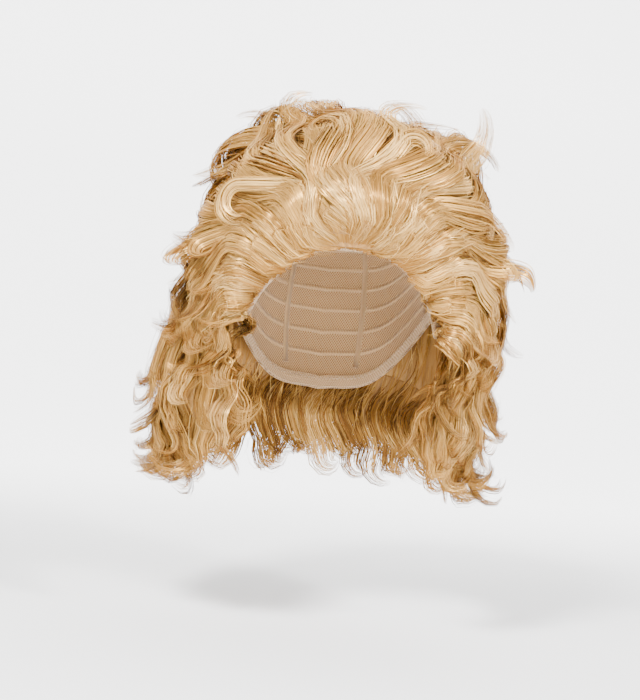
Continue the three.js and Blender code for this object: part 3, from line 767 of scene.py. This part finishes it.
def slab_mesh(name, upper, lower):
    """Closed smooth mesh between two grids of points, with the lane of each point."""
    rows, columns, _ = upper.shape
    corners = np.concatenate([upper.reshape(-1, 3), lower.reshape(-1, 3)]) * MM
    half = rows * columns
    faces = []
    for r in range(rows - 1):
        for c in range(columns - 1):
            a = r * columns + c
            faces.append((a, a + 1, a + columns + 1, a + columns))
            faces.append((half + a, half + a + columns, half + a + columns + 1, half + a + 1))
        a, b = r * columns, r * columns + columns - 1
        faces.append((a, a + columns, half + a + columns, half + a))
        faces.append((b, half + b, half + b + columns, b + columns))
    for c in range(columns - 1):
        a, b = c, (rows - 1) * columns + c
        faces.append((a, half + a, half + a + 1, a + 1))
        faces.append((b, b + 1, half + b + 1, half + b))
    mesh = bpy.data.meshes.new(name)
    mesh.from_pydata(corners.tolist(), [], faces)
    mesh.polygons.foreach_set("use_smooth", np.ones(len(faces), bool))
    lane = mesh.attributes.new("lane", "FLOAT", "POINT")
    values = np.tile(np.linspace(0, LANE_SPAN, columns), rows * 2)
    lane.data.foreach_set("value", values.astype(np.float32))
    return mesh


def core_mesh(section):
    """Solid hair inside a section, under its strands, in darker colours as painted shade."""
    name, left, right, start, end, _, ridges, _ = section
    first = start + (CORE_START if start == 0 else 0)
    last = end - (CORE_CUT if end == STATIONS else CORE_SHY)
    along = np.linspace(first, last, CORE_ROWS_PER_STATION * (end - start)) / STATIONS
    across = np.clip(np.linspace(left, right, CORE_COLUMNS_PER_RIDGE * ridges), -CORE_EDGE, CORE_EDGE)
    u, v = np.meshgrid(along, across, indexing="ij")
    depth = envelope(section, u, v)
    top = hair_place(u, v, CORE_DEPTH * depth)[0]
    bottom = hair_place(u, v, CORE_FLOOR * depth)[0]
    return slab_mesh(name + "_core", top, bottom)


def joined(name, meshes, materials):
    """One object from meshes, each with its list of material slots."""
    objects = []
    for mesh, slots in zip(meshes, materials):
        for slot in slots:
            mesh.materials.append(slot)
        obj = bpy.data.objects.new(name, mesh)
        bpy.context.scene.collection.objects.link(obj)
        objects.append(obj)
    bpy.ops.object.select_all(action="DESELECT")
    for obj in objects:
        obj.select_set(True)
    bpy.context.view_layer.objects.active = objects[0]
    if len(objects) > 1:
        bpy.ops.object.join()
    objects[0].name = name
    return objects[0]


def dressed(piece, node):
    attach(piece, "root")
    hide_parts(node)


def layer_mesh(name, lines, per_lock, level, rng, **strand_style):
    """Strands of one layer of locks, in tones that get lighter toward the outside; the darker inner tones
    and the darker strands deep in a lock are painted shade.
    """
    place, tangent, normal, lock, raised = strands_of(*lines, per_lock, rng, **strand_style)
    # painted shade: lower layers draw more of the darker inner tones
    shares = np.array(OUTER_TONES) * level + np.array(INNER_SHADED_TONES) * (1 - level)
    shares /= shares.sum()
    lock_tone = rng.choice(len(TONES), len(lines[0]), p=shares)
    own_tone = rng.choice(len(TONES), len(place), p=shares)
    tone = np.where(rng.uniform(0, 1, len(place)) < LOCK_TONE_SHARE, lock_tone[lock], own_tone)
    # painted shade: strands deep in their lock drop to darker tones
    tone = np.minimum(tone + sum(raised < limit for limit in PAINTED_SHADE_BELOW), len(TONES) - 1)
    width = STRAND_WIDTH * rng.uniform(*STRAND_WIDTH_DRIFT, len(place))
    return ribbon_mesh(name, place, tangent, normal, width, tone, rng)


def section_object(section, number):
    """One section of hair: its layers of locks, flyaways off the last layer, single locks and core."""
    name, left, right, *_, kind = section
    rng = np.random.default_rng(SEED + number)
    cut = HEM_CUT if kind == "ends" else CUT
    meshes = []
    for layer in LAYERS[kind]:
        count, level, per_lock = layer[0], layer[3], layer[-1]
        drift = rng.uniform(-LANE_DRIFT, LANE_DRIFT, count)
        lanes = left + (right - left) / count * (np.arange(count) + 0.5 + drift)
        lines = lock_lines(section, layer, lanes, TAIL_STEPS, rng)
        meshes.append(layer_mesh(name + "_strands", lines, per_lock, level, rng, cut=cut))
    chosen = rng.integers(0, count, FLYAWAYS)
    place, tangent, normal, _, _ = strands_of(*(part[chosen] for part in lines), 1, rng,
                                              spread=FLYAWAY_SPREAD, frizz=FLYAWAY_FRIZZ)
    width = rng.uniform(*FLYAWAY_WIDTHS, FLYAWAYS)
    tone = rng.integers(0, FLYAWAY_TONES, FLYAWAYS)
    meshes.append(ribbon_mesh(name + "_strays", place, tangent, normal, width, tone, rng))
    for row in SINGLE_LOCKS:
        if row[0] == name:
            layer = row[1:]
            lanes = layer[0] + CURL_SPREAD * np.array([-1, 0, 1])
            tail_steps = LONG_TAIL_STEPS if layer[5] > LONG_TAIL else TAIL_STEPS
            lines = lock_lines(section, layer, lanes, tail_steps, rng)
            meshes.append(layer_mesh(name + "_curl", lines, layer[-1] // len(lanes), 1.0, rng,
                                     spread=CURL_TIGHTNESS, loose_share=CURL_LOOSE_SHARE))
    slots = [HAIR_MATERIALS] * len(meshes) + [[CORE]]
    meshes.append(core_mesh(section))
    dressed(joined(name + "_look", meshes, slots), name)


for number, section in enumerate(SECTIONS):
    section_object(section, number)


# Cap and elastic: their meshes, and the rows and straps sewn inside the net
CAP_ANGLES = 96
CAP_ROWS = 26
CAP_FIRST_ROW = 0.004
WEFT_ROWS = 11
WEFT_SPAN = (0.16, 0.88)
WEFT_WIDTH = 3.6
WEFT_THICKNESS = 0.35
SEAM_OFFSET = 0.1
STRAPS = 8
STRAP_STEPS = 30
STRAP_SPAN = (0.1, 0.93)
STRAP_WIDTH = 5
STRAP_DEPTH = 0.75
NARROWEST_RING = 0.15
BAND_ANGLES = 288
BAND_RIBS = 4
STEPS_PER_RIB = 4
RIB_DEPTH = 0.22
GATHERS = 96
GATHER_DEPTH = 0.12
STITCHES = 150
STITCH_ROWS = (0.62, 0.86)
STITCH_HALF_ANGLE = 0.003
STITCH_HEIGHT = 0.35


def grid_faces(rows, columns, closed_rows=False):
    """Quads over a grid whose columns go all the way round."""
    faces = []
    for r in range(rows if closed_rows else rows - 1):
        for c in range(columns):
            a = r * columns
            b = ((r + 1) % rows) * columns
            n = (c + 1) % columns
            faces.append((a + c, a + n, b + n, b + c))
    return faces


def mesh_of(name, points, faces, around, rows):
    """Smooth mesh that knows where its points lie in the cloth's pattern."""
    mesh = bpy.data.meshes.new(name)
    mesh.from_pydata((points * MM).tolist(), [], faces)
    mesh.polygons.foreach_set("use_smooth", np.ones(len(faces), bool))
    for label, values in (("around", around), ("rows", rows)):
        attribute = mesh.attributes.new(label, "FLOAT", "POINT")
        attribute.data.foreach_set("value", values.astype(np.float32))
    return mesh


def loops_mesh(name, loops):
    """Closed band from loops of points round the head, joined in turn."""
    rows, columns, _ = loops.shape
    around = np.tile(np.linspace(0, 2 * math.pi * HEAD_HALF_DEPTH, columns), rows)
    across = np.repeat(np.linspace(0, 1, rows), columns)
    faces = grid_faces(rows, columns, True)
    return mesh_of(name, loops.reshape(-1, 3), faces, around, across)


def cloth_material(name, dark, light, fine, ribs):
    """Knitted or woven stretch cloth: thread pattern across two attributes, in bump and colour."""
    material, tree, shader = new_material(name, {"Roughness": 0.85, "Sheen Weight": 0.3})
    link = tree.links.new
    waves = []
    for label, scale in (("around", fine), ("rows", ribs)):
        value = add_node(tree, "Attribute", attribute_name=label)
        times = add_node(tree, "Math", {1: scale}, operation="MULTIPLY")
        wave = add_node(tree, "Math", operation="SINE")
        link(value.outputs["Fac"], times.inputs[0])
        link(times.outputs["Value"], wave.inputs[0])
        waves.append(wave)
    both = add_node(tree, "Math", operation="MULTIPLY")
    level = add_node(tree, "MapRange", {"From Min": -1, "From Max": 1})
    ramp = add_ramp(tree, dark, light, first=0.3, last=0.6)
    bump = add_node(tree, "Bump", {"Distance": 0.3 * MM})
    link(waves[0].outputs["Value"], both.inputs[0])
    link(waves[1].outputs["Value"], both.inputs[1])
    link(both.outputs["Value"], level.inputs["Value"])
    link(level.outputs["Result"], ramp.inputs["Fac"])
    link(ramp.outputs["Color"], shader.inputs["Base Color"])
    link(level.outputs["Result"], bump.inputs["Height"])
    link(bump.outputs["Normal"], shader.inputs["Normal"])
    return material


# Cloths: dark and light thread, then how fast the pattern runs round the head and across
NET = cloth_material("net", srgb(120, 84, 44), srgb(196, 158, 110), 2.6, 2.6)
WEFT = cloth_material("weft", srgb(150, 112, 68), srgb(208, 172, 124), 4.0, 12.0)
ELASTIC = cloth_material("elastic", srgb(168, 130, 86), srgb(214, 180, 136), 3.2, 25.0)
THREAD = cloth_material("thread", srgb(206, 170, 122), srgb(232, 204, 160), 6.0, 6.0)


def cap_shell():
    """Closed net cap with an outer and an inner face."""
    angles = np.linspace(0, 360, CAP_ANGLES, endpoint=False)
    polar = np.linspace(CAP_FIRST_ROW, 1, CAP_ROWS)[:, None] * rim_polar(angles)
    around = np.broadcast_to(angles, polar.shape)
    outer = head_point(around, polar, CAP_WALL)
    inner = head_point(around, polar, 0.0)[::-1]
    points = np.concatenate([outer, inner]).reshape(-1, 3)
    rows = np.concatenate([polar, polar[::-1]]).ravel() * CROWN_HEIGHT
    round_mm = np.tile(np.radians(angles) * HEAD_HALF_DEPTH, 2 * CAP_ROWS)
    last = (2 * CAP_ROWS - 1) * CAP_ANGLES
    faces = grid_faces(2 * CAP_ROWS, CAP_ANGLES)
    faces.append(tuple(range(CAP_ANGLES)))
    faces.append(tuple(range(last + CAP_ANGLES - 1, last - 1, -1)))
    return mesh_of("cap_shell", points, faces, round_mm, rows)


def weft_mesh(share):
    """Weft round the inside of the cap, at a share of the way to its rim."""
    angles = np.linspace(0, 360, CAP_ANGLES, endpoint=False)
    middle = share * rim_polar(angles)
    half = WEFT_WIDTH / 2 / CROWN_HEIGHT
    corners = ((-half, SEAM_OFFSET), (half, SEAM_OFFSET), (half, -WEFT_THICKNESS), (-half, -WEFT_THICKNESS))
    return loops_mesh("weft", np.array([head_point(angles, middle + way, level) for way, level in corners]))


def strap_mesh(angle):
    """Strap down the inside of the cap at an angle from the forehead."""
    polar = np.linspace(*STRAP_SPAN, STRAP_STEPS) * rim_polar(np.array([angle]))
    ring = np.maximum(np.sin(polar), NARROWEST_RING)
    spread = np.degrees(STRAP_WIDTH / 2 / (HEAD_HALF_DEPTH * ring))
    corners = ((-1, -SEAM_OFFSET), (1, -SEAM_OFFSET), (1, -STRAP_DEPTH), (-1, -STRAP_DEPTH))
    edges = [head_point(angle + spread * way, polar, level) for way, level in corners]
    last = 4 * STRAP_STEPS - 1
    faces = grid_faces(STRAP_STEPS, 4) + [(0, 1, 2, 3), (last, last - 1, last - 2, last - 3)]
    across = np.tile([0, 1, 1, 0], STRAP_STEPS)
    down = np.repeat(polar * CROWN_HEIGHT, 4)
    return mesh_of("strap", np.stack(edges, 1).reshape(-1, 3), faces, across, down)


def cap_object():
    wefts = [weft_mesh(share) for share in np.linspace(*WEFT_SPAN, WEFT_ROWS)]
    straps = [strap_mesh(360 / STRAPS * (k + 0.5)) for k in range(STRAPS)]
    slots = [[NET]] + [[WEFT]] * (WEFT_ROWS + STRAPS)
    dressed(joined("cap_look", [cap_shell()] + wefts + straps, slots), "cap")


def band_object():
    angles = np.linspace(0, 360, BAND_ANGLES, endpoint=False)
    rim = rim_polar(angles)
    turn = BAND_WIDTH / CROWN_HEIGHT
    outer = -BAND_GAP
    inner = -BAND_GAP - BAND_THICKNESS
    gather = GATHER_DEPTH * np.sin(np.radians(angles) * GATHERS)
    loops = [head_point(angles, rim - turn * c, outer) for c in (0, 1)]
    for c in np.linspace(0, 1, STEPS_PER_RIB * BAND_RIBS + 1)[::-1]:
        ridge = RIB_DEPTH * (0.5 - 0.5 * math.cos(2 * math.pi * BAND_RIBS * c))
        loops.append(head_point(angles, rim - turn * c, inner + ridge + gather))
    stitch_angles = np.linspace(0, 360, 2 * STITCHES, endpoint=False)
    share = np.where(np.arange(2 * STITCHES) % 2 == 0, *STITCH_ROWS)
    middle = rim_polar(stitch_angles) - turn * share
    level = inner - SEAM_OFFSET
    thread = np.array([head_point(stitch_angles, middle - STITCH_HALF_ANGLE, level),
                       head_point(stitch_angles, middle + STITCH_HALF_ANGLE, level),
                       head_point(stitch_angles, middle, level - STITCH_HEIGHT)])
    meshes = [loops_mesh("band", np.array(loops)), loops_mesh("stitches", thread)]
    dressed(joined("band_look", meshes, [[ELASTIC], [THREAD]]), "edge_band")


# Teased hair: its core, then its strands, some of which lie beside the face
TEASED_LAST_STATION = 13
TEASED_ROWS = 32
TEASED_COLUMNS = 50
TEASED_EDGE = 0.86
TEASED_NARROWS = 0.22
TEASED_THINS = (0.35, 0.7)
TEASED_CORE = (0.1, 0.8)
TEASED_SEED = SEED + 90
TEASED_STRANDS = 2400
TEASED_STEPS = 10
TEASED_STRAND_WIDTH = 0.55
TEASED_BEGINS = (0.22, 0.8)
TEASED_LANES = (-0.88, 0.88)
EDGE_STRANDS = 0.3
EDGE_LANES = (0.72, 0.89)
EDGE_BEGINS = (0.0, 0.7)
TEASED_REACH = (0.1, 0.17)
TEASED_LIMIT = 0.955
TEASED_DRIFT = 0.012
TEASED_LEVELS = (0.75, 1.02)
CRIMPS = (0.2, 0.7)
CRIMP_INWARD = 0.3
TEASED_SWAY = 2.4


def teased_place(along, across, share):
    """Points in the short hair, from under the locks (share 0) to its inner face (share 1)."""
    point, over, _, _ = hair_place(along, across, np.full(np.shape(along), -TEASED_GAP))
    seat = CAP_WALL + TEASED_SEAT
    inward = (point - HEAD_CENTRE) / head_share(point, seat) + HEAD_CENTRE - point
    length = np.linalg.norm(inward, axis=-1)
    deepest = share_of(HEAD_HALF_WIDTH, TEASED_ENDS, smooth(*TEASED_THINS, along))
    depth = np.clip(length, TEASED_THINNEST, deepest)
    inward = inward / np.maximum(length, TINY)[..., None]
    return point + inward * (depth * share)[..., None], inward, over


def teased_core():
    along = np.linspace(0, TEASED_LAST_STATION / STATIONS, TEASED_ROWS)
    across = np.linspace(-TEASED_EDGE, TEASED_EDGE, TEASED_COLUMNS)
    u, v = np.meshgrid(along, across, indexing="ij")
    v = v * (1 - TEASED_NARROWS * smooth(*TEASED_THINS, u))
    top, bottom = (teased_place(u, v, share)[0] for share in TEASED_CORE)
    return slab_mesh("teased_core", top, bottom)


def teased_strands(rng):
    """Short crimped strands all through the teased hair."""
    count = TEASED_STRANDS
    begins = rng.uniform(*TEASED_BEGINS, count)
    lanes = rng.uniform(*TEASED_LANES, count)
    edge = rng.uniform(0, 1, count) < EDGE_STRANDS
    lanes = np.where(edge, np.sign(lanes) * rng.uniform(*EDGE_LANES, count), lanes)
    begins = np.where(edge, rng.uniform(*EDGE_BEGINS, count), begins)
    t = np.linspace(0, 1, TEASED_STEPS)
    reach = rng.uniform(*TEASED_REACH, count)
    along = np.minimum(begins[:, None] + reach[:, None] * t, TEASED_LIMIT)
    across = lanes[:, None] + TEASED_DRIFT * np.sin(rng.uniform(0, 6, (count, 1)) + 4 * t)
    place, inward, over = teased_place(along, across, rng.uniform(*TEASED_LEVELS, (count, 1)))
    crimp = rng.uniform(*CRIMPS, (count, 1))
    phase = rng.uniform(0, 6, (count, 1))
    sway = TEASED_SWAY * t * np.sin(0.3 * phase + 7 * t)
    place = place + over * (crimp * np.sin(phase + 15 * t) + sway)[..., None]
    place = place + inward * (CRIMP_INWARD * crimp * np.cos(phase + 13 * t))[..., None]
    tangent = unit(np.gradient(place, axis=1))
    normal = square_to(inward, tangent)
    # painted shade: the teased hair under the locks takes the darker inner tones
    tone = rng.choice(len(TONES), count, p=INNER_SHADED_TONES)
    width = np.full(count, TEASED_STRAND_WIDTH)
    return ribbon_mesh("teased_strands", place, tangent, normal, width, tone, rng)


def teased_object():
    strands = teased_strands(np.random.default_rng(TEASED_SEED))
    # the teased core takes the core's painted-shade colours
    look = joined("teased_look", [strands, teased_core()], [HAIR_MATERIALS, [CORE]])
    dressed(look, "teased_hair")


cap_object()
band_object()
teased_object()


# Stage, in metres: a sheet of paper that curves up behind the wig
FLOOR_GAP = 0.09
FLOOR_FRONT = -4.0
FLOOR_HALF_WIDTH = 5.0
SWEEP_START = 0.9
SWEEP_RADIUS = 0.6
SWEEP_STEPS = 24
WALL_HEIGHT = 4.0
PAPER_COLOUR = (0.9, 0.9, 0.9, 1)
WHITE = (1, 1, 1, 1)
GLOW_FROM = 0.1
GLOW_TO = 1.0
GLOW = 2.6

# Lights, in metres and watts
WORLD_COLOUR = (0.95, 0.97, 1, 1)
WORLD_STRENGTH = 0.13
LIGHT_AIM = Vector((0, 0, -0.09))
LIGHTS = [
    # name, place, size, power
    ("key", (-0.5, -0.95, 0.8), 0.25, 56),
    ("second", (0.75, -0.85, 0.6), 0.25, 28),
    ("front", (0.15, -1.4, 0.15), 0.2, 9),
    ("low", (0.0, -1.3, -0.3), 0.5, 8),
    ("rim", (0.5, 0.9, 0.9), 0.6, 3),
]

# Camera: place in metres, angles in degrees, sensor and lens in millimetres
CAMERA_TARGET = Vector((-0.009, 0.0, -0.131))
CAMERA_DISTANCE = 1.25
CAMERA_AZIMUTH = -5
CAMERA_ELEVATION = 2
CAMERA_ROLL = 5.5
SENSOR_HEIGHT = 24
LENS = 60


def paper_material():
    """Pale paper that glows more toward the back."""
    paper, tree, shader = new_material("paper", {
        "Base Color": PAPER_COLOUR, "Emission Color": WHITE, "Roughness": 0.9})
    spot = add_node(tree, "NewGeometry")
    parts = add_node(tree, "SeparateXYZ")
    glow = add_node(tree, "MapRange", {"From Min": GLOW_FROM, "From Max": GLOW_TO, "To Max": GLOW},
                    interpolation_type="SMOOTHSTEP")
    link = tree.links.new
    link(spot.outputs["Position"], parts.inputs["Vector"])
    link(parts.outputs["Y"], glow.inputs["Value"])
    link(glow.outputs["Result"], shader.inputs["Emission Strength"])
    return paper


def stage_floor():
    floor_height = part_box("left_side_ends")[0][2] - FLOOR_GAP
    profile = [(FLOOR_FRONT, floor_height)]
    for s in range(SWEEP_STEPS + 1):
        turn = math.radians(90) * s / SWEEP_STEPS
        profile.append((SWEEP_START + SWEEP_RADIUS * math.sin(turn),
                        floor_height + SWEEP_RADIUS * (1 - math.cos(turn))))
    profile.append((SWEEP_START + SWEEP_RADIUS, floor_height + WALL_HEIGHT))
    corners = [(x, y, z) for y, z in profile for x in (-FLOOR_HALF_WIDTH, FLOOR_HALF_WIDTH)]
    faces = [(2 * i, 2 * i + 1, 2 * i + 3, 2 * i + 2) for i in range(len(profile) - 1)]
    mesh = bpy.data.meshes.new("floor")
    mesh.from_pydata(corners, [], faces)
    mesh.polygons.foreach_set("use_smooth", np.ones(len(faces), bool))
    mesh.materials.append(paper_material())
    floor = bpy.data.objects.new("floor", mesh)
    bpy.context.scene.collection.objects.link(floor)


def studio_light():
    world = bpy.data.worlds.new("studio")
    world.use_nodes = True
    background = world.node_tree.nodes["Background"]
    background.inputs["Color"].default_value = WORLD_COLOUR
    background.inputs["Strength"].default_value = WORLD_STRENGTH
    bpy.context.scene.world = world
    for name, place, size, power in LIGHTS:
        light = bpy.data.lights.new(name, "AREA")
        light.size = size
        light.energy = power
        lamp = bpy.data.objects.new(name, light)
        lamp.location = place
        lamp.rotation_euler = (LIGHT_AIM - Vector(place)).to_track_quat("-Z", "Y").to_euler()
        bpy.context.scene.collection.objects.link(lamp)


def photo_camera():
    lens = bpy.data.cameras.new("camera")
    lens.sensor_fit = "VERTICAL"
    lens.sensor_height = SENSOR_HEIGHT
    lens.lens = LENS
    camera = bpy.data.objects.new("camera", lens)
    bpy.context.scene.collection.objects.link(camera)
    bpy.context.scene.camera = camera
    azimuth = math.radians(CAMERA_AZIMUTH)
    elevation = math.radians(CAMERA_ELEVATION)
    back = Vector((math.sin(azimuth) * math.cos(elevation), -math.cos(azimuth) * math.cos(elevation),
                   math.sin(elevation)))
    camera.location = CAMERA_TARGET + back * CAMERA_DISTANCE
    camera.rotation_euler = (-back).to_track_quat("-Z", "Y").to_euler()
    camera.rotation_euler.rotate_axis("Z", math.radians(CAMERA_ROLL))


stage_floor()
studio_light()
photo_camera()
